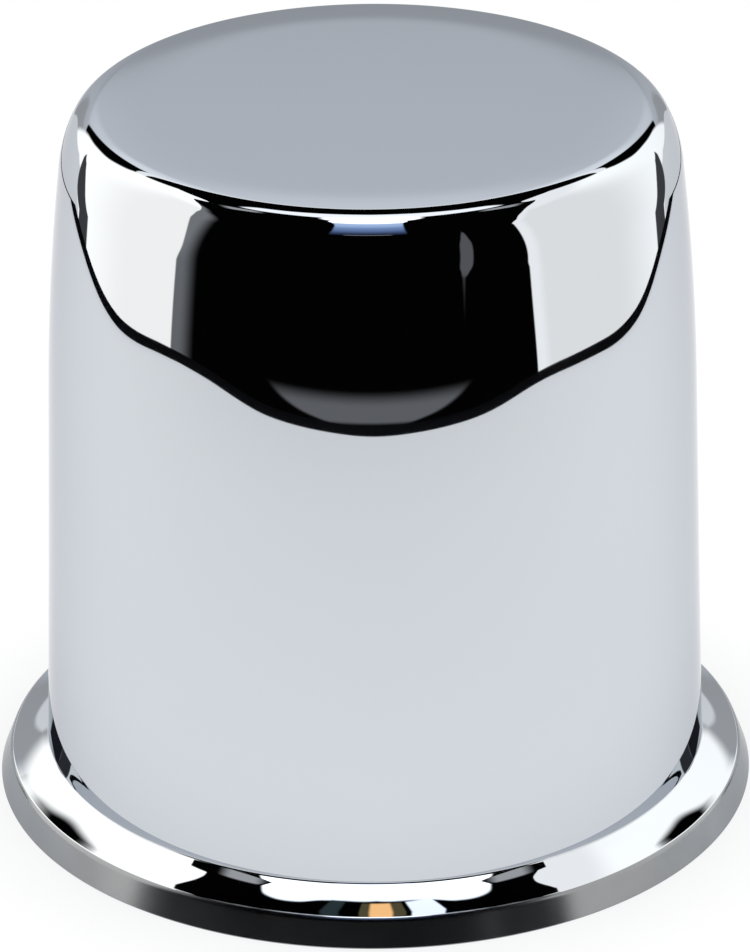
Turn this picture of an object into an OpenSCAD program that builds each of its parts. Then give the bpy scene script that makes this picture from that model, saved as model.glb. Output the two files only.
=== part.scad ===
// Push-through wheel centre cap, drawn from one disc of steel sheet, polished and chromium plated.
// It stands on the lower edge of its flange: the origin is the centre of that edge, +Z up.
// The section follows the outside of the sheet from the middle of the top, over the edge, down the wall
// and out to the edge of the flange. A heading is how far below level that line runs, in degrees.

/* [Overall size] */
// Height from the lower edge of the flange to the flat of the top
cap_height = 115.6; // [90:0.1:140]
// Outside diameter of the wall where it meets the flange
body_d = 106.7; // [104:0.1:108]
// Diameter over the lower edge of the flange
flange_d = 122.5; // [121:0.1:126]
// Thickness of the sheet
sheet_t = 0.9; // [0.6:0.05:1]

/* [Top and shoulder] */
// Radius of the faint crown between the flat of the top and its edge
crown_r = 125; // [80:5:250]
// Heading at the end of the crown
crown_end = 4; // [2:0.5:6]
// Outside radius of the edge of the top
edge_r = 5.7; // [3:0.1:8]
// Heading at the end of that edge
edge_end = 61; // [50:1:70]
// Outside radius of the shoulder
shoulder_r = 17.6; // [10:0.1:25]
// Heading at the end of the shoulder
shoulder_end = 83; // [80:0.5:85]

/* [Wall] */
// Radius of the long curve that eases the shoulder into the straight wall
barrel_r = 410; // [200:5:600]
// Draft of the straight wall from the upright
draft = 1.9; // [1:0.1:3]

/* [Flange] */
// Outside radius of the tight corner at the foot of the wall
foot_r = 0.3; // [0.2:0.05:0.8]
// Heading of the inner, steeper part of the flare
inner_heading = 26.5; // [23:0.5:34]
// Heading of the outer, flatter part of the flare
outer_heading = 21; // [12:0.5:25]
// Diameter where the two parts would meet in a sharp corner
knee_d = 112.6; // [111:0.1:114.5]
// Outside radius of the soft bend between them
knee_r = 6; // [1:0.5:10]
// Outside radius of the bend at the brim
brim_r = 1.1; // [1:0.05:1.6]
// Height of the brim's corner above the lower edge, as if it were sharp
brim_h = 4.35; // [3.5:0.05:6]
// Heading of the skirt below the brim
skirt_heading = 68.5; // [64:0.5:76]
// Rounding on the outside of the sheet's lower edge
lip_r = 0.15; // [0.1:0.05:0.3]

/* [Hidden] */

REVOLVE_FN = 240;
// A bend is drawn in steps no wider than this angle and no longer than this length
STEP_ANGLE = 4;
STEP_LENGTH = 3;

wall_heading = 90 - draft;

// Unit vector along the sheet where its heading is a
function along(a) = [cos(a), -sin(a)];

// Unit vector out of the sheet where its heading is a
function outward(a) = [sin(a), cos(a)];

// Step along the outside of a bend of outside radius r from heading a to heading b
function bend_step(r, a, b) = sign(b - a) * r * (outward(b) - outward(a));

// Point where a bend of outside radius r starts, if it rounds the corner between headings a and b
function bend_start(corner, r, a, b) = corner - r * tan(abs(b - a) / 2) * along(a);

// Flange, worked inwards from its lower edge by its sharp corners
rim = [flange_d / 2, 0];
rim_width = sheet_t / sin(skirt_heading);
brim_corner = rim + brim_h * [-1 / tan(skirt_heading), 1];
knee_corner = [knee_d / 2, brim_corner.y + (brim_corner.x - knee_d / 2) * tan(outer_heading)];
foot_corner = [body_d / 2, knee_corner.y + (knee_corner.x - body_d / 2) * tan(inner_heading)];
foot_start = bend_start(foot_corner, foot_r, wall_heading, inner_heading);
knee_start = bend_start(knee_corner, knee_r, inner_heading, outer_heading);
brim_start = bend_start(brim_corner, brim_r, outer_heading, skirt_heading);

// Lower edge of the sheet, rounded on the outside
lip_start = bend_start(rim, lip_r, skirt_heading, 180);

// Top and shoulder, worked outwards from the flat, which takes the width that the wall leaves for it
crown_step = bend_step(crown_r, 0, crown_end);
edge_step = bend_step(edge_r, crown_end, edge_end);
shoulder_step = bend_step(shoulder_r, edge_end, shoulder_end);
barrel_step = bend_step(barrel_r, shoulder_end, wall_heading);
dome_step = crown_step + edge_step + shoulder_step + barrel_step;
wall_drop = cap_height + dome_step.y - foot_start.y;
crown_start = [foot_start.x - wall_drop * tan(draft) - dome_step.x, cap_height];
edge_start = crown_start + crown_step;
shoulder_start = edge_start + edge_step;
barrel_start = shoulder_start + shoulder_step;

// The bends in order, each with the point where its outside starts, its outside radius and its two headings
bends = [
    [crown_start, crown_r, 0, crown_end],
    [edge_start, edge_r, crown_end, edge_end],
    [shoulder_start, shoulder_r, edge_end, shoulder_end],
    [barrel_start, barrel_r, shoulder_end, wall_heading],
    [foot_start, foot_r, wall_heading, inner_heading],
    [knee_start, knee_r, inner_heading, outer_heading],
    [brim_start, brim_r, outer_heading, skirt_heading]
];

// Rounding of the lower edge, on the outside only
lip = [lip_start, lip_r, skirt_heading, 180];

// Points along one bend, at a depth below the outside of the sheet
function bend_points(bend, depth) =
    let(
        start = bend[0],
        r = bend[1],
        a = bend[2],
        b = bend[3],
        way = sign(b - a),
        centre = start - way * r * outward(a),
        arc_length = r * abs(b - a) * PI / 180,
        steps = ceil(max(abs(b - a) / STEP_ANGLE, arc_length / STEP_LENGTH))
    )
    [for (i = [0:steps]) centre + (way * r - depth) * outward(a + (b - a) * i / steps)];

// One side of the sheet from the first bend to the last
function side(depth) = [for (bend = bends) each bend_points(bend, depth)];

// The same points in the opposite order
function backwards(points) = [for (i = [len(points) - 1:-1:0]) points[i]];

module sheet_section()
    polygon(concat(
        [[0, cap_height]],
        side(0),
        bend_points(lip, 0),
        [rim - [rim_width, 0]],
        backwards(side(sheet_t)),
        [[0, cap_height - sheet_t]]
    ));

// The whole cap: one shell, closed at the top and open underneath
module cap_shell()
    color([0.80, 0.82, 0.85])
        rotate_extrude($fn = REVOLVE_FN)
            sheet_section();

cap_shell();
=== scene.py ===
"""Looks of a tall push-through wheel centre cap: one drawn steel shell with bright chromium plate.

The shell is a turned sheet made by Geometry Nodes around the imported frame. Lengths are in metres.
A heading is how far below level the outside of the sheet runs, going from the middle of the top
over the edge and down the wall to the edge of the flange. In the studio an azimuth runs from the
camera's side towards +X.
"""

import math

import bpy
from bpy.props import (
    FloatProperty,
    FloatVectorProperty,
    IntProperty,
    PointerProperty,
)
from bpy.types import Operator, Panel, PropertyGroup
from mathutils import Euler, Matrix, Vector


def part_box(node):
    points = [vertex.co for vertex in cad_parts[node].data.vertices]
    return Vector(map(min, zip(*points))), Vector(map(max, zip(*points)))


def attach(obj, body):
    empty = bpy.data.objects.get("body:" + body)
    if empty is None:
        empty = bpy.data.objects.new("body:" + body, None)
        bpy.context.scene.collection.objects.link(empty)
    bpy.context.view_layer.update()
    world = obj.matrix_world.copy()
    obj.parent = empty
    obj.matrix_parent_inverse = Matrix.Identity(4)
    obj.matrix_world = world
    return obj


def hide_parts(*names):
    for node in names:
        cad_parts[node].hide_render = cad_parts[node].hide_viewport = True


bl_info = {
    "name": "Wheel Centre Cap",
    "version": (1, 0, 0),
    "blender": (4, 5, 0),
    "location": "3D View > Sidebar > Wheel Cap",
    "description": "Builds a chromium-plated push-through wheel centre cap and its studio",
    "category": "Add Mesh",
}

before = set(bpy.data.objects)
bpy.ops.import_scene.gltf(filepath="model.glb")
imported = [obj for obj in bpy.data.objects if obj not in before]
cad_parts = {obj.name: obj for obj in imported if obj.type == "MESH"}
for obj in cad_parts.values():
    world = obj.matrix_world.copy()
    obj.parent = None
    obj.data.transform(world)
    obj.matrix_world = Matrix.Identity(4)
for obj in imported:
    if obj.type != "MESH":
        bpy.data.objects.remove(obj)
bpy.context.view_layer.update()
SHELL_LOW, SHELL_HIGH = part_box("cap_shell")


class CapSectionSettings(PropertyGroup):
    """Section of the sheet, from the middle of the top to the edge of the flange."""

    height: FloatProperty(
        name="Height",
        description="From the lower edge of the flange to the flat of the top",
        default=SHELL_HIGH.z - SHELL_LOW.z,
        unit="LENGTH",
    )
    flange_diameter: FloatProperty(
        name="Flange Diameter",
        description="Over the lower edge of the flange, as if that edge were sharp",
        default=0.12245,
        unit="LENGTH",
    )
    body_diameter: FloatProperty(
        name="Body Diameter",
        description="Outside of the wall where it meets the flange",
        default=0.1067,
        unit="LENGTH",
    )
    thickness: FloatProperty(
        name="Sheet Thickness",
        description="Thickness of the drawn sheet",
        default=0.0009,
        unit="LENGTH",
    )
    crown_radius: FloatProperty(
        name="Crown Radius",
        description="Faint crown between the flat of the top and its edge",
        default=0.125,
        unit="LENGTH",
    )
    crown_heading: FloatProperty(
        name="Crown Heading",
        description="Heading at the end of the crown",
        default=math.radians(4),
        subtype="ANGLE",
    )
    edge_radius: FloatProperty(
        name="Edge Radius",
        description="Outside radius of the edge of the top",
        default=0.0057,
        unit="LENGTH",
    )
    edge_heading: FloatProperty(
        name="Edge Heading",
        description="Heading at the end of the edge of the top",
        default=math.radians(61),
        subtype="ANGLE",
    )
    shoulder_radius: FloatProperty(
        name="Shoulder Radius",
        description="Outside radius of the shoulder",
        default=0.0176,
        unit="LENGTH",
    )
    shoulder_heading: FloatProperty(
        name="Shoulder Heading",
        description="Heading at the end of the shoulder",
        default=math.radians(83),
        subtype="ANGLE",
    )
    barrel_radius: FloatProperty(
        name="Barrel Radius",
        description="Long curve that eases the shoulder into the straight wall",
        default=0.41,
        unit="LENGTH",
    )
    draft: FloatProperty(
        name="Draft",
        description="Lean of the straight wall from the upright",
        default=math.radians(1.9),
        subtype="ANGLE",
    )
    foot_radius: FloatProperty(
        name="Foot Radius",
        description="Outside radius of the corner at the foot of the wall",
        default=0.0003,
        unit="LENGTH",
    )
    inner_heading: FloatProperty(
        name="Inner Heading",
        description="Heading of the inner, steeper part of the flare",
        default=math.radians(26.5),
        subtype="ANGLE",
    )
    outer_heading: FloatProperty(
        name="Outer Heading",
        description="Heading of the outer, flatter part of the flare",
        default=math.radians(21),
        subtype="ANGLE",
    )
    knee_diameter: FloatProperty(
        name="Knee Diameter",
        description="Where the two parts of the flare would meet in a sharp corner",
        default=0.1126,
        unit="LENGTH",
    )
    knee_radius: FloatProperty(
        name="Knee Radius",
        description="Outside radius of the soft bend between them",
        default=0.045,
        unit="LENGTH",
    )
    brim_radius: FloatProperty(
        name="Brim Radius",
        description="Outside radius of the bend at the brim",
        default=0.0011,
        unit="LENGTH",
    )
    brim_height: FloatProperty(
        name="Brim Height",
        description="Height of the brim's corner above the lower edge, as if it were sharp",
        default=0.00435,
        unit="LENGTH",
    )
    skirt_heading: FloatProperty(
        name="Skirt Heading",
        description="Heading of the skirt below the brim",
        default=math.radians(68.5),
        subtype="ANGLE",
    )
    lip_radius: FloatProperty(
        name="Lip Radius",
        description="Rounding of the sheet's lower edge on its outside",
        default=0.00015,
        unit="LENGTH",
    )
    burr_radius: FloatProperty(
        name="Burr Radius",
        description="Rounding of the sheet's lower edge on its inside",
        default=0.00006,
        unit="LENGTH",
    )
    buffed_to: FloatProperty(
        name="Buffed To",
        description="Heading in the bend at the brim where the bright finish ends",
        default=math.radians(31),
        subtype="ANGLE",
    )
    turns: IntProperty(
        name="Turned Segments",
        description="Faces round the axis",
        default=320,
        min=32,
    )
    fine_step: FloatProperty(
        name="Fine Step",
        description="Widest angle between two points of a bend",
        default=math.radians(3.5),
        subtype="ANGLE",
    )
    long_step: FloatProperty(
        name="Long Step",
        description="Longest distance between two points of the section",
        default=0.004,
        unit="LENGTH",
    )


class FinishSettings(PropertyGroup):
    """Bright chromium plate outside, duller plate on the skirt and inside."""

    plate: FloatVectorProperty(
        name="Plate",
        description="Reflected colour of the bright plate",
        default=(0.60, 0.634, 0.676),
        size=3,
        subtype="COLOR",
    )
    plate_shade: FloatVectorProperty(
        name="Plate Shade",
        description="Reflected colour of the bright plate where it is a little thinner",
        default=(0.588, 0.623, 0.668),
        size=3,
        subtype="COLOR",
    )
    skirt: FloatVectorProperty(
        name="Skirt",
        # description="Reflected colour of the skirt, well under half that of the bright plate, so
        # that all it reflects shows darker",
        description="Reflected colour of the less buffed skirt",
        default=(0.25, 0.262, 0.275),
        size=3,
        subtype="COLOR",
    )
    inside: FloatVectorProperty(
        name="Inside",
        description="Reflected colour of the thin plate inside the cup",
        default=(0.36, 0.365, 0.37),
        size=3,
        subtype="COLOR",
    )
    bright_roughness: FloatProperty(
        name="Bright Roughness",
        description="Roughness of the buffed outside",
        default=0.012,
        min=0.0,
        max=1.0,
    )
    skirt_roughness: FloatProperty(
        name="Skirt Roughness",
        description="Roughness of the skirt",
        default=0.17,
        min=0.0,
        max=1.0,
    )
    inside_roughness: FloatProperty(
        name="Inside Roughness",
        description="Roughness inside the cup",
        default=0.33,
        min=0.0,
        max=1.0,
    )
    edge_tint: FloatVectorProperty(
        name="Edge Tint",
        description="Holds back the brightening of the plate where it is seen at a low angle",
        default=(0.73, 0.74, 0.76),
        size=3,
        subtype="COLOR",
    )
    wave_scale: FloatProperty(
        name="Wave Scale",
        description="Waves of the buffed surface in a metre",
        default=22.0,
    )
    cloud_scale: FloatProperty(
        name="Cloud Scale",
        description="Clouds in the plating in a metre",
        default=90.0,
    )
    mark_scale: FloatProperty(
        name="Mark Scale",
        description="Drawing marks in a metre round the cup",
        default=900.0,
    )
    mark_stretch: FloatProperty(
        name="Mark Stretch",
        description="Factor on height in the drawing marks, below 1 so that they run up the wall",
        default=0.06,
    )
    bright_spread: FloatProperty(
        name="Bright Spread",
        description="Roughness that the clouds add to the buffed outside",
        default=0.008,
    )
    skirt_spread: FloatProperty(
        name="Skirt Spread",
        description="Roughness that the clouds add to the skirt",
        default=0.05,
    )
    inside_spread: FloatProperty(
        name="Inside Spread",
        description="Roughness that the drawing marks add inside the cup",
        default=0.12,
    )
    skirt_clouds: FloatProperty(
        name="Skirt Clouds",
        description="How far the clouds brighten the skirt",
        default=0.25,
    )
    inside_clouds: FloatProperty(
        name="Inside Clouds",
        description="How far clouds and marks each darken the inside of the cup",
        default=0.3,
    )
    wave_height: FloatProperty(
        name="Wave Height",
        description="Height of the buffed surface's faint waves",
        default=0.0000006,
        precision=7,
        unit="LENGTH",
    )
    draw_height: FloatProperty(
        name="Drawing Mark Height",
        description="Height of the drawing marks inside the cup",
        default=0.00004,
        precision=6,
        unit="LENGTH",
    )


class StudioSettings(PropertyGroup):
    """Floor, lights and camera."""

    floor_glow: FloatProperty(
        name="Floor Glow",
        description="Light that the lit table gives off by itself",
        default=0.70,
    )
    floor_white: FloatProperty(
        name="Floor White",
        description="Share of the light on the table that it returns",
        default=0.30,
    )
    edge_height: FloatProperty(
        name="Edge Height",
        description="Height of the dark edge round the table",
        default=0.0044,
        unit="LENGTH",
    )
    shadow_reach: FloatProperty(
        name="Shadow Reach",
        description="How far the contact shadow under the cap reaches",
        default=0.03,
        unit="LENGTH",
    )
    shadow_from: FloatProperty(
        name="Shadow From",
        description="Distance from the axis where the contact shadow starts to fade",
        default=0.08,
        unit="LENGTH",
    )
    shadow_to: FloatProperty(
        name="Shadow To",
        description="Distance from the axis where the contact shadow has gone",
        default=0.1,
        unit="LENGTH",
    )
    lamp_power: FloatProperty(
        name="Lamp Power",
        description="Overhead lamp that lights the table and draws the soft shadow",
        default=2.2,
        unit="POWER",
    )
    lamp_size: FloatProperty(
        name="Lamp Size",
        description="Width of the overhead lamp",
        default=0.3,
        unit="LENGTH",
    )
    lamp_height: FloatProperty(
        name="Lamp Height",
        description="Height of the overhead lamp above the table",
        default=0.5,
        unit="LENGTH",
    )
    dome_radius: FloatProperty(
        name="Dome Radius",
        description="Radius of the dome that carries the light panels",
        default=0.5,
        unit="LENGTH",
    )
    dome_height: FloatProperty(
        name="Dome Height",
        description="Height of the dome's centre above the table",
        default=0.1,
        unit="LENGTH",
    )
    lens: FloatProperty(
        name="Lens",
        description="Focal length",
        default=196.66,
        unit="CAMERA",
    )
    sensor_width: FloatProperty(
        name="Sensor Width",
        description="Width of the camera's sensor",
        default=36.0,
        unit="CAMERA",
    )
    camera_place: FloatVectorProperty(
        name="Camera Place",
        description="Where the camera stands",
        default=(0.0, -0.7469, 0.4156),
        size=3,
        unit="LENGTH",
    )
    camera_pitch: FloatProperty(
        name="Camera Pitch",
        description="How far below level the camera looks",
        default=math.radians(26.018),
        subtype="ANGLE",
    )
    camera_yaw: FloatProperty(
        name="Camera Yaw",
        description="Turn of the camera to the left",
        default=math.radians(-0.02),
        subtype="ANGLE",
    )
    camera_roll: FloatProperty(
        name="Camera Roll",
        description="Turn of the camera about its line of sight",
        default=math.radians(-0.406),
        subtype="ANGLE",
    )


def along(heading):
    """Direction in which the sheet runs."""
    return Vector((math.cos(heading), -math.sin(heading)))


def outward(heading):
    """Direction out of the sheet."""
    return Vector((math.sin(heading), math.cos(heading)))


def bend_step(radius, a, b):
    """Step along the outside of a bend from heading a to heading b."""
    return math.copysign(radius, b - a) * (outward(b) - outward(a))


def bend_start(corner, radius, a, b):
    """Where a bend begins that rounds the corner between headings a and b."""
    return corner - radius * math.tan(abs(b - a) / 2) * along(a)


def corner_before(corner, x, heading):
    """Corner at radius x from which a straight of one heading reaches the given corner."""
    return Vector((x, corner.y + (corner.x - x) * math.tan(heading)))


def section_bends(s):
    """The lower edge, and the bends in order: outside start, outside radius and two headings."""
    wall = math.pi / 2 - s.draft
    inner, outer, skirt = s.inner_heading, s.outer_heading, s.skirt_heading
    rim = Vector((s.flange_diameter / 2, 0))
    brim_corner = rim + s.brim_height * Vector((-1 / math.tan(skirt), 1))
    knee_corner = corner_before(brim_corner, s.knee_diameter / 2, outer)
    foot_corner = corner_before(knee_corner, s.body_diameter / 2, inner)
    foot_start = bend_start(foot_corner, s.foot_radius, wall, inner)
    knee_start = bend_start(knee_corner, s.knee_radius, inner, outer)
    brim_start = bend_start(brim_corner, s.brim_radius, outer, skirt)
    crown_step = bend_step(s.crown_radius, 0, s.crown_heading)
    edge_step = bend_step(s.edge_radius, s.crown_heading, s.edge_heading)
    shoulder_step = bend_step(s.shoulder_radius, s.edge_heading, s.shoulder_heading)
    barrel_step = bend_step(s.barrel_radius, s.shoulder_heading, wall)
    dome = crown_step + edge_step + shoulder_step + barrel_step
    drop = s.height + dome.y - foot_start.y
    crown_start = Vector((foot_start.x - drop * math.tan(s.draft) - dome.x, s.height))
    edge_start = crown_start + crown_step
    shoulder_start = edge_start + edge_step
    barrel_start = shoulder_start + shoulder_step
    return rim, [
        (crown_start, s.crown_radius, 0, s.crown_heading),
        (edge_start, s.edge_radius, s.crown_heading, s.edge_heading),
        (shoulder_start, s.shoulder_radius, s.edge_heading, s.shoulder_heading),
        (barrel_start, s.barrel_radius, s.shoulder_heading, wall),
        (foot_start, s.foot_radius, wall, inner),
        (knee_start, s.knee_radius, inner, outer),
        (brim_start, s.brim_radius, outer, skirt),
    ]


def arc(s, start, radius, a, b, depth=0.0):
    """Points and headings of a bend, at a depth below the outside of the sheet."""
    way = math.copysign(1, b - a)
    centre = start - way * radius * outward(a)
    turn = abs(b - a)
    count = max(4, math.ceil(turn / s.fine_step), math.ceil(radius * turn / s.long_step))
    headings = [a + (b - a) * i / count for i in range(count + 1)]
    return [(centre + (way * radius - depth) * outward(h), h) for h in headings]


def straight(s, a, b, heading):
    """Points between a and b, without either."""
    count = max(1, math.ceil((b - a).length / s.long_step))
    return [(a.lerp(b, i / count), heading) for i in range(1, count)]


def side(s, bends, depth):
    """Points and headings of one face of the sheet, from the axis to the top of the skirt."""
    out = [(Vector((0, bends[0][0].y - depth)), 0.0)]
    for start, radius, a, b in bends:
        points = arc(s, start, radius, a, b, depth)
        out += straight(s, out[-1][0], points[0][0], a)
        out += points
    return out


# Share of the bright finish on the outside, on the skirt with its edge, and inside
BRIGHT, SKIRT, INSIDE = 1.0, 0.5, 0.0
# Place of an extra point in the last step before the brim, as a share of that step
NEAR_BRIM = 0.98
# Share of the skirt's inner face over which its finish gives way to that of the inside
FINISH_SEAM = 0.02


def section_points(s):
    """Closed run of the section: place, heading of its face, and share of the bright finish."""
    rim, bends = section_bends(s)
    skirt = s.skirt_heading
    outside = side(s, bends, 0.0)
    brim = len(arc(s, *bends[-1]))
    run = [(p, h, BRIGHT) for p, h in outside[:-brim]]
    run.append((run[-1][0].lerp(outside[-brim][0], NEAR_BRIM), s.outer_heading, BRIGHT))
    run += [(p, h, BRIGHT if h < s.buffed_to else SKIRT) for p, h in outside[-brim:]]
    lip_start = bend_start(rim, s.lip_radius, skirt, math.pi)
    lip = arc(s, lip_start, s.lip_radius, skirt, math.pi)
    lower = straight(s, outside[-1][0], lip[0][0], skirt) + lip
    inner_rim = rim - Vector((s.thickness / math.sin(skirt), 0))
    burr_start = bend_start(inner_rim, s.burr_radius, math.pi, math.pi + skirt)
    burr = arc(s, burr_start, s.burr_radius, math.pi, math.pi + skirt)
    lower += straight(s, lower[-1][0], burr[0][0], math.pi) + burr
    run += [(p, h, SKIRT) for p, h in lower]
    inside = side(s, bends, s.thickness)[::-1]
    seam = lower[-1][0].lerp(inside[0][0], FINISH_SEAM)
    run.append((seam, math.pi + skirt, INSIDE))
    run += [(p, h, INSIDE) for p, h in straight(s, seam, inside[0][0], math.pi + skirt)]
    run += [(p, h + math.pi, INSIDE) for p, h in inside]
    return run


# Sockets of the Mix node for colours, whose names are also those of its sockets for numbers
MIX_UNDER, MIX_OVER, MIX_RESULT = 6, 7, 2


class Nodes:
    """Adds nodes to a tree by type, settings and sockets."""

    def __init__(self, tree):
        self.tree = tree

    def node(self, kind, settings=None, **sockets):
        """New node with its settings and what its inputs get."""
        n = self.tree.nodes.new(kind)
        for key, value in (settings or {}).items():
            setattr(n, key, value)
        for key, value in sockets.items():
            self.feed(n.inputs[key.replace("_", " ")], value)
        return n

    def feed(self, socket, value):
        """Links a wire to an input, or sets the input's own value."""
        if isinstance(value, Wire):
            value = value.socket
        if isinstance(value, bpy.types.NodeSocket):
            self.tree.links.new(value, socket)
        else:
            socket.default_value = value

    def mix(self, factor, under, over):
        """Colour that goes from under to over with the factor."""
        n = self.node("ShaderNodeMix", {"data_type": "RGBA"})
        self.feed(n.inputs["Factor"], factor)
        self.feed(n.inputs[MIX_UNDER], colour(under))
        self.feed(n.inputs[MIX_OVER], colour(over))
        return Wire(self, n.outputs[MIX_RESULT])

    def math(self, operation, *values):
        """Result of one sum on wires and numbers."""
        n = self.node("ShaderNodeMath", {"operation": operation})
        for socket, value in zip(n.inputs, values):
            self.feed(socket, value)
        return Wire(self, n.outputs[0])

    def split(self, vector):
        """X, Y and Z of a vector."""
        n = self.node("ShaderNodeSeparateXYZ", Vector=vector)
        return [Wire(self, socket) for socket in n.outputs]

    def sample(self, geometry, value, index, kind):
        """Value of one point of a geometry."""
        n = self.node("GeometryNodeSampleIndex", {"data_type": kind, "domain": "POINT"})
        self.feed(n.inputs["Geometry"], geometry)
        self.feed(n.inputs["Value"], value)
        self.feed(n.inputs["Index"], index)
        return n.outputs["Value"]

    def whole(self, operation, first, second):
        """Result of one sum on whole numbers."""
        n = self.node("FunctionNodeIntegerMath", {"operation": operation})
        self.feed(n.inputs[0], first)
        self.feed(n.inputs[1], second)
        return n.outputs[0]

    def turn(self, vector, angle):
        """Vector turned about Z."""
        n = self.node("ShaderNodeVectorRotate", {"rotation_type": "Z_AXIS"})
        self.feed(n.inputs["Vector"], vector)
        self.feed(n.inputs["Angle"], angle)
        return n.outputs[0]

    def named(self, name, kind):
        """Attribute of a geometry by its name."""
        n = self.node("GeometryNodeInputNamedAttribute", {"data_type": kind}, Name=name)
        return n.outputs["Attribute"]

    def keep(self, geometry, name, value, kind):
        """Stores an attribute on the points of a geometry."""
        n = self.node("GeometryNodeStoreNamedAttribute", {"data_type": kind, "domain": "POINT"})
        self.feed(n.inputs["Geometry"], geometry)
        self.feed(n.inputs["Name"], name)
        self.feed(n.inputs["Value"], value)
        return n.outputs[0]


def colour(value):
    """Adds the fourth number to a plain colour; leaves wires alone."""
    if isinstance(value, Wire):
        return value
    return (*value, 1.0)


class Wire:
    """A node's output that can be used in Python sums."""

    def __init__(self, nodes, socket):
        self.nodes = nodes
        self.socket = socket

    def __add__(self, other):
        return self.nodes.math("ADD", self, other)

    __radd__ = __add__

    def __sub__(self, other):
        return self.nodes.math("SUBTRACT", self, other)

    def __rsub__(self, other):
        return self.nodes.math("SUBTRACT", other, self)

    def __mul__(self, other):
        return self.nodes.math("MULTIPLY", self, other)

    __rmul__ = __mul__

    def __truediv__(self, other):
        return self.nodes.math("DIVIDE", self, other)

    def __rtruediv__(self, other):
        return self.nodes.math("DIVIDE", other, self)

    def __neg__(self):
        return self * -1.0

    def __or__(self, other):
        return self.nodes.math("MAXIMUM", self, other)

    def size(self):
        """Value without its sign."""
        return self.nodes.math("ABSOLUTE", self)

    def kept(self):
        """Kept between 0 and 1."""
        wire = self.nodes.math("ADD", self, 0.0)
        wire.socket.node.use_clamp = True
        return wire

    def ramp(self, low, high):
        """Rises smoothly from 0 at low to 1 at high."""
        n = self.nodes.node("ShaderNodeMapRange", {"interpolation_type": "SMOOTHSTEP"})
        self.nodes.feed(n.inputs["Value"], self)
        self.nodes.feed(n.inputs["From Min"], low)
        self.nodes.feed(n.inputs["From Max"], high)
        return Wire(self.nodes, n.outputs["Result"])

    def past(self, edge, soft=0.4):
        """1 beyond the edge, 0 before it."""
        return (self - edge).ramp(-soft / 2, soft / 2)

    def before(self, edge, soft=0.4):
        """1 before the edge, 0 beyond it."""
        return (edge - self).ramp(-soft / 2, soft / 2)

    def within(self, low, high, soft=0.4):
        """1 between two edges, 0 outside them."""
        return self.past(low, soft) * self.before(high, soft)

    def follow(self, points, low, high):
        """Smooth line through (place, value) points, with values between low and high."""
        first, last = points[0][0], points[-1][0]
        n = self.nodes.node("ShaderNodeFloatCurve")
        share = ((self - first) / (last - first)).kept()
        self.nodes.feed(n.inputs["Value"], share)
        line = n.mapping.curves[0].points
        for _ in points[2:]:
            line.new(0.5, 0.5)
        for knot, (place, value) in zip(line, points):
            knot.location = ((place - first) / (last - first), (value - low) / (high - low))
            knot.handle_type = "AUTO_CLAMPED"
        n.mapping.update()
        return Wire(self.nodes, n.outputs[0]) * (high - low) + low


def turned_sheet_tree():
    """Turns a section, given as a run of points in the XZ plane, into a closed shell round Z."""
    tree = bpy.data.node_groups.new("Turned Sheet", "GeometryNodeTree")
    face = tree.interface
    face.new_socket("Section", in_out="INPUT", socket_type="NodeSocketGeometry")
    face.new_socket("Turned Segments", in_out="INPUT", socket_type="NodeSocketInt")
    face.new_socket("Seam Distance", in_out="INPUT", socket_type="NodeSocketFloat")
    face.new_socket("Finish", in_out="INPUT", socket_type="NodeSocketMaterial")
    face.new_socket("Shell", in_out="OUTPUT", socket_type="NodeSocketGeometry")
    b = Nodes(tree)
    given = b.node("NodeGroupInput").outputs
    section, turns = given["Section"], given["Turned Segments"]
    points = b.node("GeometryNodeAttributeDomainSize", Geometry=section).outputs["Point Count"]
    grid = b.node("GeometryNodeMeshGrid", Size_X=1.0, Size_Y=1.0)
    b.feed(grid.inputs["Vertices X"], b.whole("ADD", turns, 1))
    b.feed(grid.inputs["Vertices Y"], points)
    index = b.node("GeometryNodeInputIndex").outputs[0]
    place = b.node("GeometryNodeInputPosition").outputs[0]
    column = b.whole("MODULO", index, points)
    step = Wire(b, b.whole("DIVIDE_FLOOR", index, points)) / turns
    angle = step * math.tau
    spot = b.turn(b.sample(section, place, column, "FLOAT_VECTOR"), angle)
    aim = b.turn(b.sample(section, b.named("facing", "FLOAT_VECTOR"), column, "FLOAT_VECTOR"), angle)
    share = b.sample(section, b.named("buffed", "FLOAT"), column, "FLOAT")
    shell = b.keep(grid.outputs["Mesh"], "buffed", share, "FLOAT")
    shell = b.keep(shell, "facing", aim, "FLOAT_VECTOR")
    shell = b.node("GeometryNodeSetPosition", Geometry=shell, Position=spot).outputs[0]
    shell = b.node("GeometryNodeFlipFaces", Mesh=shell).outputs[0]
    shell = b.node("GeometryNodeMergeByDistance", Geometry=shell, Distance=given["Seam Distance"])
    shell = b.node("GeometryNodeSetShadeSmooth", Geometry=shell.outputs[0]).outputs[0]
    exact = b.node("GeometryNodeSetMeshNormal", {"mode": "FREE", "domain": "POINT"}, Mesh=shell)
    b.feed(exact.inputs["Custom Normal"], b.named("facing", "FLOAT_VECTOR"))
    real = b.node("GeometryNodeRealizeInstances", Geometry=exact.outputs[0]).outputs[0]
    last = b.node("GeometryNodeSetMaterial", Geometry=real, Material=given["Finish"]).outputs[0]
    b.node("NodeGroupOutput", Shell=last)
    return tree


def set_input(modifier, name, value):
    """Sets an input of a Geometry Nodes modifier by its name."""
    for item in modifier.node_group.interface.items_tree:
        if item.in_out == "INPUT" and item.name == name:
            modifier[item.identifier] = value
            return
    raise KeyError(name)


def new_material(name):
    """Empty material, and the means to add nodes to it."""
    material = bpy.data.materials.new(name)
    material.use_nodes = True
    material.node_tree.nodes.clear()
    return material, Nodes(material.node_tree)


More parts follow.
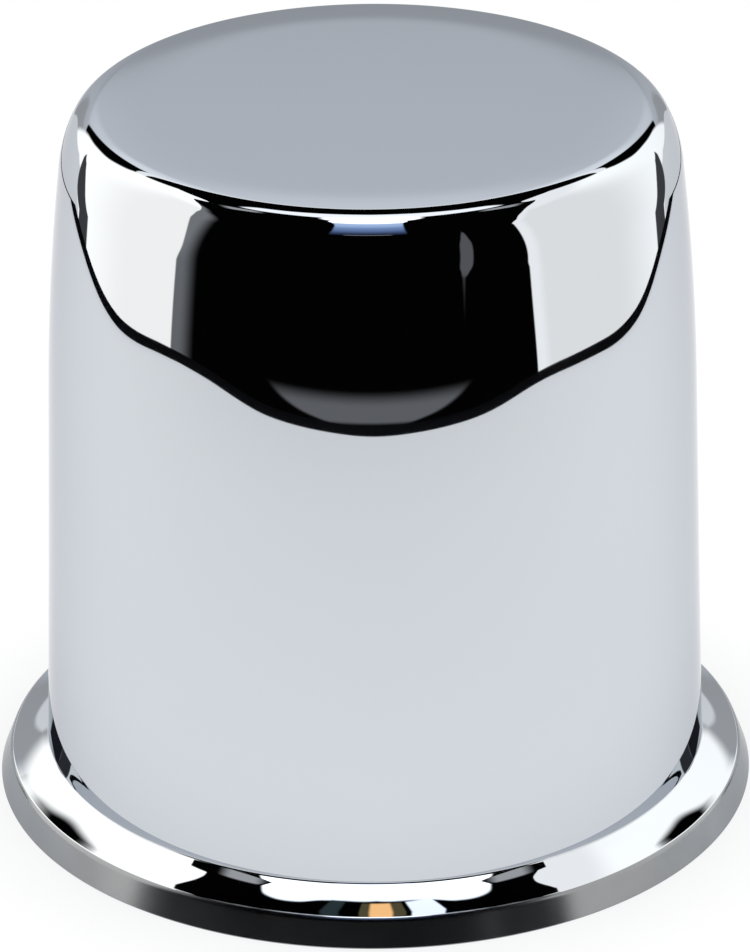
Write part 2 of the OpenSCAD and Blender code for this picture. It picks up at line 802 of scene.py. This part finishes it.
def noise(b, place, scale, detail):
    """Soft random pattern between 0 and 1."""
    n = b.node("ShaderNodeTexNoise", Scale=scale, Detail=detail)
    b.feed(n.inputs["Vector"], place)
    return Wire(b, n.outputs["Fac"])


def stretched(b, place, stretch):
    """Place with its height scaled, so that marks run up and down the wall."""
    n = b.node("ShaderNodeMapping", {"vector_type": "POINT"}, Scale=(1, 1, stretch))
    b.feed(n.inputs["Vector"], place)
    return n.outputs[0]


# Softness of the change from one finish to the next, as a share of the bright finish
FINISH_BLEND = 0.1
# Points of the turned sheet that lie closer together than this are joined, in metres
SEAM_DISTANCE = 1e-6


def chrome_material(f):
    """Bright plate outside, a duller skirt, and a dull inside with drawing marks."""
    material, b = new_material("chrome_plate")
    place = b.node("ShaderNodeTexCoord").outputs["Object"]
    share = Wire(b, b.node("ShaderNodeAttribute", {"attribute_name": "buffed"}).outputs["Fac"])
    on_outside = share.past((BRIGHT + SKIRT) / 2, FINISH_BLEND)
    on_skirt = share.past((SKIRT + INSIDE) / 2, FINISH_BLEND)
    waves = noise(b, place, f.wave_scale, 2)
    cloudy = noise(b, place, f.cloud_scale, 4)
    marks = noise(b, stretched(b, place, f.mark_stretch), f.mark_scale, 3)
    plate = b.mix(waves, f.plate, f.plate_shade)
    # The skirt's reflected colour is far below the bright plate's, which darkens all that the skirt
    # reflects; the clouds bring it part way back
    skirt = b.mix(cloudy * f.skirt_clouds, f.skirt, f.plate_shade)
    inside = b.mix(cloudy * f.inside_clouds + marks * f.inside_clouds, f.inside, f.skirt)
    base = b.mix(on_outside, b.mix(on_skirt, inside, skirt), plate)
    smooth = f.bright_roughness + cloudy * f.bright_spread
    worn = f.skirt_roughness + cloudy * f.skirt_spread
    dull = f.inside_roughness + marks * f.inside_spread
    inner = dull + on_skirt * (worn - dull)
    rough = inner + on_outside * (smooth - inner)
    height = on_outside * waves * f.wave_height + (1 - on_skirt) * marks * f.draw_height
    bump = b.node("ShaderNodeBump", Strength=1.0, Distance=1.0)
    b.feed(bump.inputs["Height"], height)
    bsdf = b.node("ShaderNodeBsdfPrincipled", Metallic=1.0)
    b.feed(bsdf.inputs["Specular Tint"], colour(f.edge_tint))
    b.feed(bsdf.inputs["Base Color"], base)
    b.feed(bsdf.inputs["Roughness"], rough)
    b.feed(bsdf.inputs["Normal"], bump.outputs[0])
    b.node("ShaderNodeOutputMaterial", Surface=bsdf.outputs[0])
    return material


class WHEELCAP_OT_cap_shell(Operator):
    """Turns the drawn shell with its plating"""

    bl_idname = "wheelcap.cap_shell"
    bl_label = "Cap Shell"

    def execute(self, context):
        scene = context.scene
        s = scene.wheelcap_section
        run = section_points(s)
        mesh = bpy.data.meshes.new("cap_section")
        edges = [(i, i + 1) for i in range(len(run) - 1)]
        mesh.from_pydata([(p.x, 0, p.y) for p, _, _ in run], edges, [])
        buffed = mesh.attributes.new("buffed", "FLOAT", "POINT")
        buffed.data.foreach_set("value", [share for _, _, share in run])
        facing = mesh.attributes.new("facing", "FLOAT_VECTOR", "POINT")
        for item, (_, heading, _) in zip(facing.data, run):
            item.vector = (math.sin(heading), 0, math.cos(heading))
        section = bpy.data.objects.new("cap_section", mesh)
        scene.collection.objects.link(section)
        modifier = section.modifiers.new("Turned Sheet", "NODES")
        modifier.node_group = turned_sheet_tree()
        set_input(modifier, "Turned Segments", s.turns)
        set_input(modifier, "Seam Distance", SEAM_DISTANCE)
        set_input(modifier, "Finish", chrome_material(scene.wheelcap_finish))
        graph = context.evaluated_depsgraph_get()
        shell_mesh = bpy.data.meshes.new_from_object(section.evaluated_get(graph))
        section.modifiers.remove(modifier)
        bpy.data.objects.remove(section)
        shell_mesh.name = "chrome_shell"
        shell = bpy.data.objects.new("chrome_shell", shell_mesh)
        scene.collection.objects.link(shell)
        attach(shell, "root")
        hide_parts("cap_shell")
        return {"FINISHED"}


# Light that the panels give off, as linear colours; the backdrop's is a tint of its grey tones
UNLIT = (0.001, 0.001, 0.001)
BACKDROP_TINT = (1.13, 1.155, 1.20)
LOW_BOARD = (0.508, 0.51, 0.513)
BACKDROP_TOP = (1.3, 1.3, 1.3)
REAR_OPENING = (1.5, 1.5, 1.5)
SIDE_OPENING = (0.5, 0.5, 0.5)
ROOF = (3.0, 3.0, 3.0)
BLUE_FOOT = (0.02, 0.03, 0.07)
BLUE_MIDDLE = (0.218, 0.335, 0.629)
BLUE_HEAD = (0.55, 0.74, 1.08)
LEFT_RIM_FOOT = (0.19, 0.19, 0.195)
LEFT_RIM_HEAD = (0.262, 0.265, 0.27)
LEFT_BOX = (1.44, 1.38, 1.30)
LEFT_BOX_REAR = (1.80, 1.75, 1.65)
LEFT_BOX_TOP = (1.7, 1.66, 1.6)
RIGHT_BOX = (1.17, 1.14, 1.10)
RIGHT_BOX_REAR = (1.60, 1.58, 1.52)
RIGHT_BOX_RIM = (1.32, 1.30, 1.27)
FAR_TABLE = (1.0, 1.0, 1.0)
FAR_STRIP = (0.07, 0.07, 0.075)
THIN_LAMP = (0.3, 0.3, 0.3)
TALL_LAMP = (0.13, 0.13, 0.135)
LOW_LAMP = (0.17, 0.17, 0.175)
FOOT_SHADE = (0.03, 0.03, 0.035)
LID = (3.0, 3.0, 3.0)
OLIVE_LAMP = (0.23, 0.18, 0.085)
WARM_LAMP = (2.9, 1.5, 0.56)
COOL_LAMP = (2.8, 2.8, 3.0)
DIM_LAMP = (0.06, 0.09, 0.09)


class Sky:
    """The dome seen from its centre: azimuth, elevation and the light laid on it so far.

    Angles are in degrees. The outline of a panel is a line of (place, value) points.
    """

    def __init__(self, b, place):
        x, y, z = b.split(place)
        flat = b.math("SQRT", x * x + y * y)
        self.nodes = b
        self.az = b.math("ARCTAN2", x, -y) * math.degrees(1)
        self.el = b.math("ARCTAN2", z, flat) * math.degrees(1)
        self.wide = self.az.size()
        self.light = UNLIT

    def lay(self, shape, light):
        """Lays a panel over those that are there already."""
        self.light = self.nodes.mix(shape, self.light, light)


def lay_backdrop(sky):
    """Grey backdrop, darkest low down and brighter towards the sides, with two low boards."""
    b, el, wide = sky.nodes, sky.el, sky.wide
    tones = [(0, 0.44), (17, 0.44), (21, 0.59), (24, 0.635), (29, 0.645), (34, 0.78), (42, 0.8)]
    tone = el.follow(tones, 0, 1) + wide.before(166, 14) * 0.16
    grey = b.node("ShaderNodeCombineColor")
    for socket, share in zip(grey.inputs, BACKDROP_TINT):
        b.feed(socket, tone * share)
    side_edge = el.follow([(-19, 141), (14, 141), (20, 152), (41, 152.5)], 0, 180)
    sky.lay(wide.past(side_edge, 2) * el.within(-19, 41), Wire(b, grey.outputs[0]))
    sky.lay(wide.within(141, 158, 3) * el.within(-19, 14, 4), LOW_BOARD)
    sky.lay(wide.past(125, 6) * el.within(41, 43.5), BACKDROP_TOP)


def lay_overhead(sky):
    """White roof, with a bright opening behind and a small grey one at either side."""
    el, wide = sky.el, sky.wide
    lower_edge = wide.follow([(118, 69), (125, 65), (140, 65), (150, 68), (180, 71)], 0, 90)
    sky.lay(wide.past(118, 2) * el.past(lower_edge, 1.5), REAR_OPENING)
    sky.lay(wide.within(99, 112.5, 2) * el.within(62, 69, 3), SIDE_OPENING)
    sky.lay(el.past(81, 2), ROOF)


def lay_blue_panel(sky):
    """Blue panel high in front, fading downwards and narrower at its foot."""
    b, az, el = sky.nodes, sky.az, sky.el
    left = el.follow([(40, -17), (60, -20), (70, -26), (75, -35), (80, -55), (90, -70)], -90, 0)
    right = el.follow([(40, 14), (60, 17), (70, 22), (75, 28), (80, 45), (90, 60)], 0, 90)
    lower = b.mix(el.ramp(42, 60), BLUE_FOOT, BLUE_MIDDLE)
    upper = b.mix(el.ramp(58, 71), lower, BLUE_HEAD)
    shape = az.past(left, 1.5) * az.before(right, 1.5) * el.past(42, 3)
    sky.lay(shape, b.mix(el.ramp(73, 80), upper, ROOF))


def lay_left_box(sky):
    """Large light box at the left, with a dim rim along its front edge."""
    b, az, el, wide = sky.nodes, sky.az, sky.el, sky.wide
    front_line = [
        (-30, -72), (-17, -71), (5, -67), (25, -70), (38, -75), (48, -83), (53, -95), (55.5, -115),
    ]
    rim_line = [
        (-30, -66), (-16, -65), (-8, -64), (20, -62.5), (33, -64), (40, -68), (46, -76), (51, -85),
        (55.5, -110),
    ]
    rear_line = [
        (-30, -145), (18, -145), (25, -140), (33, -134.5), (38, -135), (42, -138), (60, -138),
        (61, -134),
    ]
    top_line = [(100, 55.5), (108, 57), (114, 58.8), (120, 58.3), (131, 54.5), (138, 51)]
    front = el.follow(front_line, -180, 0)
    rim = az.past(front, 1) * az.before(el.follow(rim_line, -180, 0), 7) * el.before(54, 3)
    sky.lay(rim, b.mix(el.ramp(-20, 10), LEFT_RIM_FOOT, LEFT_RIM_HEAD))
    sides = az.before(front, 0.8) * az.past(el.follow(rear_line, -180, 0), 4)
    box = sides * el.before(wide.follow(top_line, 0, 90))
    sky.lay(box, b.mix(wide.ramp(90, 128), LEFT_BOX, LEFT_BOX_REAR))
    sky.lay(box * el.past(49, 6), LEFT_BOX_TOP)


def lay_right_box(sky):
    """Large light box at the right, a little brighter along its front edge and its top."""
    b, az, el, wide = sky.nodes, sky.az, sky.el, sky.wide
    front_line = [
        (-30, 58), (-17, 56.5), (-11, 55), (-4, 54), (28, 54), (38, 60), (44, 65), (49, 72), (53, 80),
        (56, 90), (58.5, 113),
    ]
    rear_line = [
        (-30, 146), (18, 146), (25, 141), (33, 134.5), (38, 135), (42, 138), (60, 138), (61, 134),
    ]
    top_line = [(100, 58.5), (112, 60), (118, 61.5), (131, 58), (138, 54)]
    front = el.follow(front_line, 0, 180)
    sides = az.past(front, 0.8) * az.before(el.follow(rear_line, 0, 180), 3)
    box = sides * el.before(wide.follow(top_line, 0, 90))
    sky.lay(box, b.mix(wide.ramp(90, 128), RIGHT_BOX, RIGHT_BOX_REAR))
    sky.lay(box * (az.before(front + 4, 4) | el.past(49, 6)), RIGHT_BOX_RIM)


def lay_far_table(sky):
    """White table behind the boxes, with a dark leaning strip on either side."""
    az, el, wide = sky.az, sky.el, sky.wide
    top_line = [(120, -4), (130, -1), (146, 5), (160, -10), (180, -10)]
    sky.lay(wide.past(127) * el.before(wide.follow(top_line, -30, 30), 1.5), FAR_TABLE)
    width = el.follow([(-20, 8), (-5, 7.5), (5, 3), (12, 0)], 0, 10)
    left = az + el * 0.15
    sky.lay(left.past(-128.5, 0.8) * left.before(width - 128.5, 0.8) * el.before(12), FAR_STRIP)
    right = az - el * 0.1
    sky.lay(right.before(128, 0.8) * right.past(128 - width, 0.8) * el.before(12), FAR_STRIP)


def lay_front_lamps(sky):
    """Thin lamp above, tall lamp to the right and low curved lamp in front."""
    az, el = sky.az, sky.el
    sky.lay(az.within(-11, 8, 2) * el.within(41, 42.2), THIN_LAMP)
    lean = az - el * 0.08
    width = el.follow([(-10, 0.5), (-4, 2.5), (5, 4.5), (16, 4.5), (26, 2.5), (32, 0.3)], 0, 5)
    sky.lay((lean - 31.5).size().before(width * 0.5, 0.8) * el.within(-8, 32, 8), TALL_LAMP)
    reach = el.follow([(-17.6, 12), (-16.8, 24), (-15, 36)], 0, 40)
    level = el.past(-17.5, 0.3) * el.before(-15.9, 1.2)
    sky.lay((az + 1).size().before(reach, 3) * level, LOW_LAMP)


def lay_near_lamps(sky):
    """Foot shades, a bright lid in the dark and lamps, which only show by way of the wall."""
    az, el, wide = sky.az, sky.el, sky.wide
    sky.lay(wide.within(127, 141, 1.5) * el.within(-13, -4, 1), FOOT_SHADE)
    sky.lay(el.past(50, 1), UNLIT)
    lower_edge = wide.follow([(0, 75), (45, 72.5), (60, 69), (84, 67), (100, 68.5)], 0, 90)
    sky.lay(el.past(lower_edge, 1) * wide.before(101, 2), LID)
    row = el.within(61, 73.5, 1)
    sky.lay(row * az.within(-12, 20, 2), OLIVE_LAMP)
    sky.lay(row * az.within(-5, 11, 3), WARM_LAMP)
    sky.lay(row * az.within(24, 46, 2), COOL_LAMP)
    sky.lay(row * az.within(-38, -26, 3), DIM_LAMP)


def dome_colour(b, place, depth):
    """Light of the dome at a place, for light that has met the plating once or more often."""
    sky = Sky(b, place)
    lay_backdrop(sky)
    lay_overhead(sky)
    lay_blue_panel(sky)
    lay_left_box(sky)
    lay_right_box(sky)
    lay_far_table(sky)
    lay_front_lamps(sky)
    met_once = sky.light
    lay_near_lamps(sky)
    return b.mix(depth.past(1.5, 0.2), met_once, sky.light)


def add_dome(s):
    """Dome with the light panels, unseen by the camera itself."""
    bpy.ops.mesh.primitive_uv_sphere_add(segments=96, ring_count=48, radius=s.dome_radius)
    dome = bpy.context.object
    dome.name = "light_dome"
    dome.location.z = s.dome_height
    material, b = new_material("light_panels")
    place = b.node("ShaderNodeTexCoord").outputs["Object"]
    depth = Wire(b, b.node("ShaderNodeLightPath").outputs["Ray Depth"])
    glow = b.node("ShaderNodeEmission", Strength=1.0)
    b.feed(glow.inputs["Color"], dome_colour(b, place, depth))
    b.node("ShaderNodeOutputMaterial", Surface=glow.outputs[0])
    material.cycles.emission_sampling = "NONE"
    dome.data.materials.append(material)
    dome.visible_camera = False


# Outline of the lit table: azimuth in degrees and distance from the axis
TABLE_EDGE = [
    (-180, 0.335), (-121, 0.334), (-110, 0.324), (-99, 0.314), (-87, 0.316), (-79, 0.326),
    (-70, 0.334), (-60, 0.337), (-48, 0.329), (-40, 0.316), (-30, 0.309), (-13, 0.303),
    (0, 0.299), (21, 0.304), (37, 0.310), (50, 0.324), (57, 0.328), (65, 0.324),
    (76, 0.317), (90, 0.304), (105, 0.306), (113, 0.321), (126, 0.330), (180, 0.335),
]

# Light of the table as the camera sees it, in the contact shadow and away from it
SHADOW_WHITE = (0.72, 0.73, 0.75)
TABLE_WHITE = (1.02, 1.02, 1.02)
# Colour of the dark edge round the table
EDGE_DARK = (0.004, 0.004, 0.005)


def table_reach(azimuth):
    """Distance of the table's edge from the axis at an azimuth in degrees."""
    azimuth = (azimuth + 180) % 360 - 180
    for (a, near), (c, far) in zip(TABLE_EDGE, TABLE_EDGE[1:]):
        if azimuth <= c:
            return near + (far - near) * (azimuth - a) / (c - a)
    return TABLE_EDGE[-1][1]


def table_outline(count=360, blur=7):
    """Points of the table's edge, with its corners smoothed over a few degrees either side."""
    out = []
    for i in range(count):
        azimuth = 360 * i / count
        reaches = [table_reach(azimuth + k) for k in range(-blur, blur + 1)]
        r = sum(reaches) / len(reaches)
        turn = math.radians(azimuth)
        out.append((r * math.sin(turn), -r * math.cos(turn)))
    return out


def add_mesh(scene, name, points, faces, material):
    """New object with one material."""
    mesh = bpy.data.meshes.new(name)
    mesh.from_pydata(points, [], faces)
    mesh.materials.append(material)
    item = bpy.data.objects.new(name, mesh)
    scene.collection.objects.link(item)
    return item


def table_material(s):
    """Lit from above in the plating; white with a contact shadow for the camera."""
    material, b = new_material("table")
    diffuse = b.node("ShaderNodeBsdfDiffuse", Color=colour([s.floor_white] * 3))
    glow = b.node("ShaderNodeEmission", Color=(1, 1, 1, 1), Strength=s.floor_glow)
    both = b.node("ShaderNodeAddShader")
    b.feed(both.inputs[0], diffuse.outputs[0])
    b.feed(both.inputs[1], glow.outputs[0])
    open_sky = b.node("ShaderNodeAmbientOcclusion", {"samples": 4}, Distance=s.shadow_reach)
    x, y, _ = b.split(b.node("ShaderNodeTexCoord").outputs["Object"])
    away = b.math("SQRT", x * x + y * y).ramp(s.shadow_from, s.shadow_to)
    seen = b.node("ShaderNodeEmission", Strength=1.0)
    shadow = b.mix(Wire(b, open_sky.outputs["AO"]) | away, SHADOW_WHITE, TABLE_WHITE)
    b.feed(seen.inputs["Color"], shadow)
    path = b.node("ShaderNodeLightPath")
    mix = b.node("ShaderNodeMixShader", Fac=path.outputs["Is Camera Ray"])
    b.feed(mix.inputs[1], both.outputs[0])
    b.feed(mix.inputs[2], seen.outputs[0])
    b.node("ShaderNodeOutputMaterial", Surface=mix.outputs[0])
    return material


def add_table(scene, s):
    """Pale table."""
    points = [(x, y, 0) for x, y in table_outline()]
    table = add_mesh(scene, "table", points, [range(len(points))], table_material(s))


def add_table_edge(scene, s):
    """Thin dark edge round the table, which only shows in the plating."""
    material, b = new_material("table_edge")
    dark = b.node("ShaderNodeBsdfDiffuse", Color=colour(EDGE_DARK))
    b.node("ShaderNodeOutputMaterial", Surface=dark.outputs[0])
    outline = table_outline()
    n = len(outline)
    points = [(x, y, z) for z in (0, s.edge_height) for x, y in outline]
    faces = [(i, (i + 1) % n, n + (i + 1) % n, n + i) for i in range(n)]
    edge = add_mesh(scene, "table_edge", points, faces, material)
    edge.visible_camera = False


def add_lamp(scene, s):
    """Overhead lamp for the table, unseen in the plating."""
    data = bpy.data.lights.new("table_lamp", "AREA")
    data.shape = "DISK"
    data.size = s.lamp_size
    data.energy = s.lamp_power
    lamp = bpy.data.objects.new("table_lamp", data)
    lamp.location.z = s.lamp_height
    lamp.visible_glossy = False
    scene.collection.objects.link(lamp)


def add_backdrop(scene):
    """White for the camera, dark in the plating."""
    scene.world = bpy.data.worlds.new("studio")
    scene.world.use_nodes = True
    scene.world.node_tree.nodes.clear()
    b = Nodes(scene.world.node_tree)
    path = b.node("ShaderNodeLightPath")
    dark = b.node("ShaderNodeBackground", Color=colour(UNLIT), Strength=1.0)
    white = b.node("ShaderNodeBackground", Color=(1, 1, 1, 1), Strength=1.0)
    mix = b.node("ShaderNodeMixShader", Fac=path.outputs["Is Camera Ray"])
    b.feed(mix.inputs[1], dark.outputs[0])
    b.feed(mix.inputs[2], white.outputs[0])
    b.node("ShaderNodeOutputWorld", Surface=mix.outputs[0])


def add_camera(scene, s):
    """Camera at the photo's angle."""
    data = bpy.data.cameras.new("camera")
    data.sensor_width = s.sensor_width
    data.lens = s.lens
    camera = bpy.data.objects.new("camera", data)
    camera.location = s.camera_place
    aim = Euler((math.pi / 2 - s.camera_pitch, 0, s.camera_yaw)).to_matrix()
    roll = Euler((0, 0, s.camera_roll)).to_matrix()
    camera.rotation_euler = (aim @ roll).to_euler()
    scene.collection.objects.link(camera)
    scene.camera = camera


class WHEELCAP_OT_studio(Operator):
    """Sets up the table, the lights and the camera"""

    bl_idname = "wheelcap.studio"
    bl_label = "Studio"

    def execute(self, context):
        scene = context.scene
        s = scene.wheelcap_studio
        add_backdrop(scene)
        add_table(scene, s)
        add_table_edge(scene, s)
        add_dome(s)
        add_lamp(scene, s)
        add_camera(scene, s)
        scene.view_settings.view_transform = "Standard"
        return {"FINISHED"}


class WHEELCAP_PT_sidebar(Panel):
    """Lists the pieces of the cap"""

    bl_idname = "WHEELCAP_PT_sidebar"
    bl_label = "Wheel Cap"
    bl_space_type = "VIEW_3D"
    bl_region_type = "UI"
    bl_category = "Wheel Cap"

    def draw(self, context):
        layout = self.layout
        layout.operator("wheelcap.cap_shell")
        layout.operator("wheelcap.studio")


CLASSES = (
    CapSectionSettings,
    FinishSettings,
    StudioSettings,
    WHEELCAP_OT_cap_shell,
    WHEELCAP_OT_studio,
    WHEELCAP_PT_sidebar,
)


def register():
    for cls in CLASSES:
        bpy.utils.register_class(cls)
    bpy.types.Scene.wheelcap_section = PointerProperty(type=CapSectionSettings)
    bpy.types.Scene.wheelcap_finish = PointerProperty(type=FinishSettings)
    bpy.types.Scene.wheelcap_studio = PointerProperty(type=StudioSettings)


def unregister():
    del bpy.types.Scene.wheelcap_studio
    del bpy.types.Scene.wheelcap_finish
    del bpy.types.Scene.wheelcap_section
    for cls in reversed(CLASSES):
        bpy.utils.unregister_class(cls)


def main():
    register()
    bpy.ops.wheelcap.cap_shell()
    bpy.ops.wheelcap.studio()


if __name__ == "__main__":
    main()
